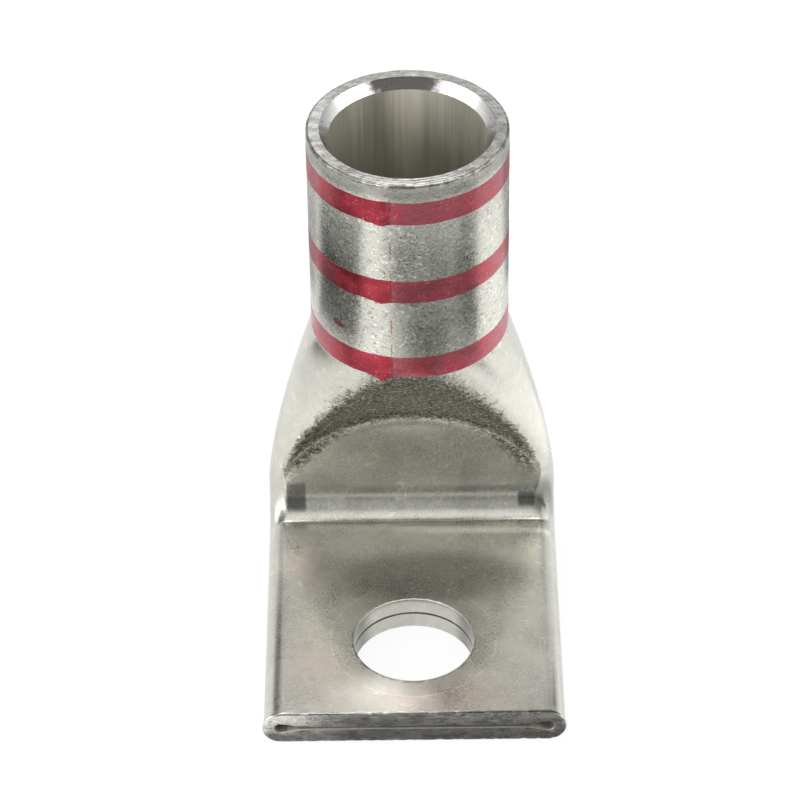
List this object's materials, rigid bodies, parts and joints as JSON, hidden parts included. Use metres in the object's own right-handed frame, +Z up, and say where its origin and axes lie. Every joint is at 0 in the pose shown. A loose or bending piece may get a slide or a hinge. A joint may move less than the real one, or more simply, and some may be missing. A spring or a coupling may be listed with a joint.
{
  "type": "angle compression cable lug",
  "caption": "Right-angle compression lug for flexible cable: a plated tube barrel with ink bands, flattened and bent into a pierced tongue.",
  "frame": {"origin": "on the contact plane, the underside of the tongue, below the middle of the lug's bounding box", "axes": "+Z up along the barrel to its mouth, -Y along the tongue to its cut end, +X across the tongue"},
  "size_m": [0.036, 0.051, 0.0611],
  "materials": {
    "tin_plate": "bright tin plating with fine scratches",
    "red_ink": "thin translucent marking ink"
  },
  "bodies": {
    "root": {"lug_body": "tin_plate"}
  },
  "joints": []
}
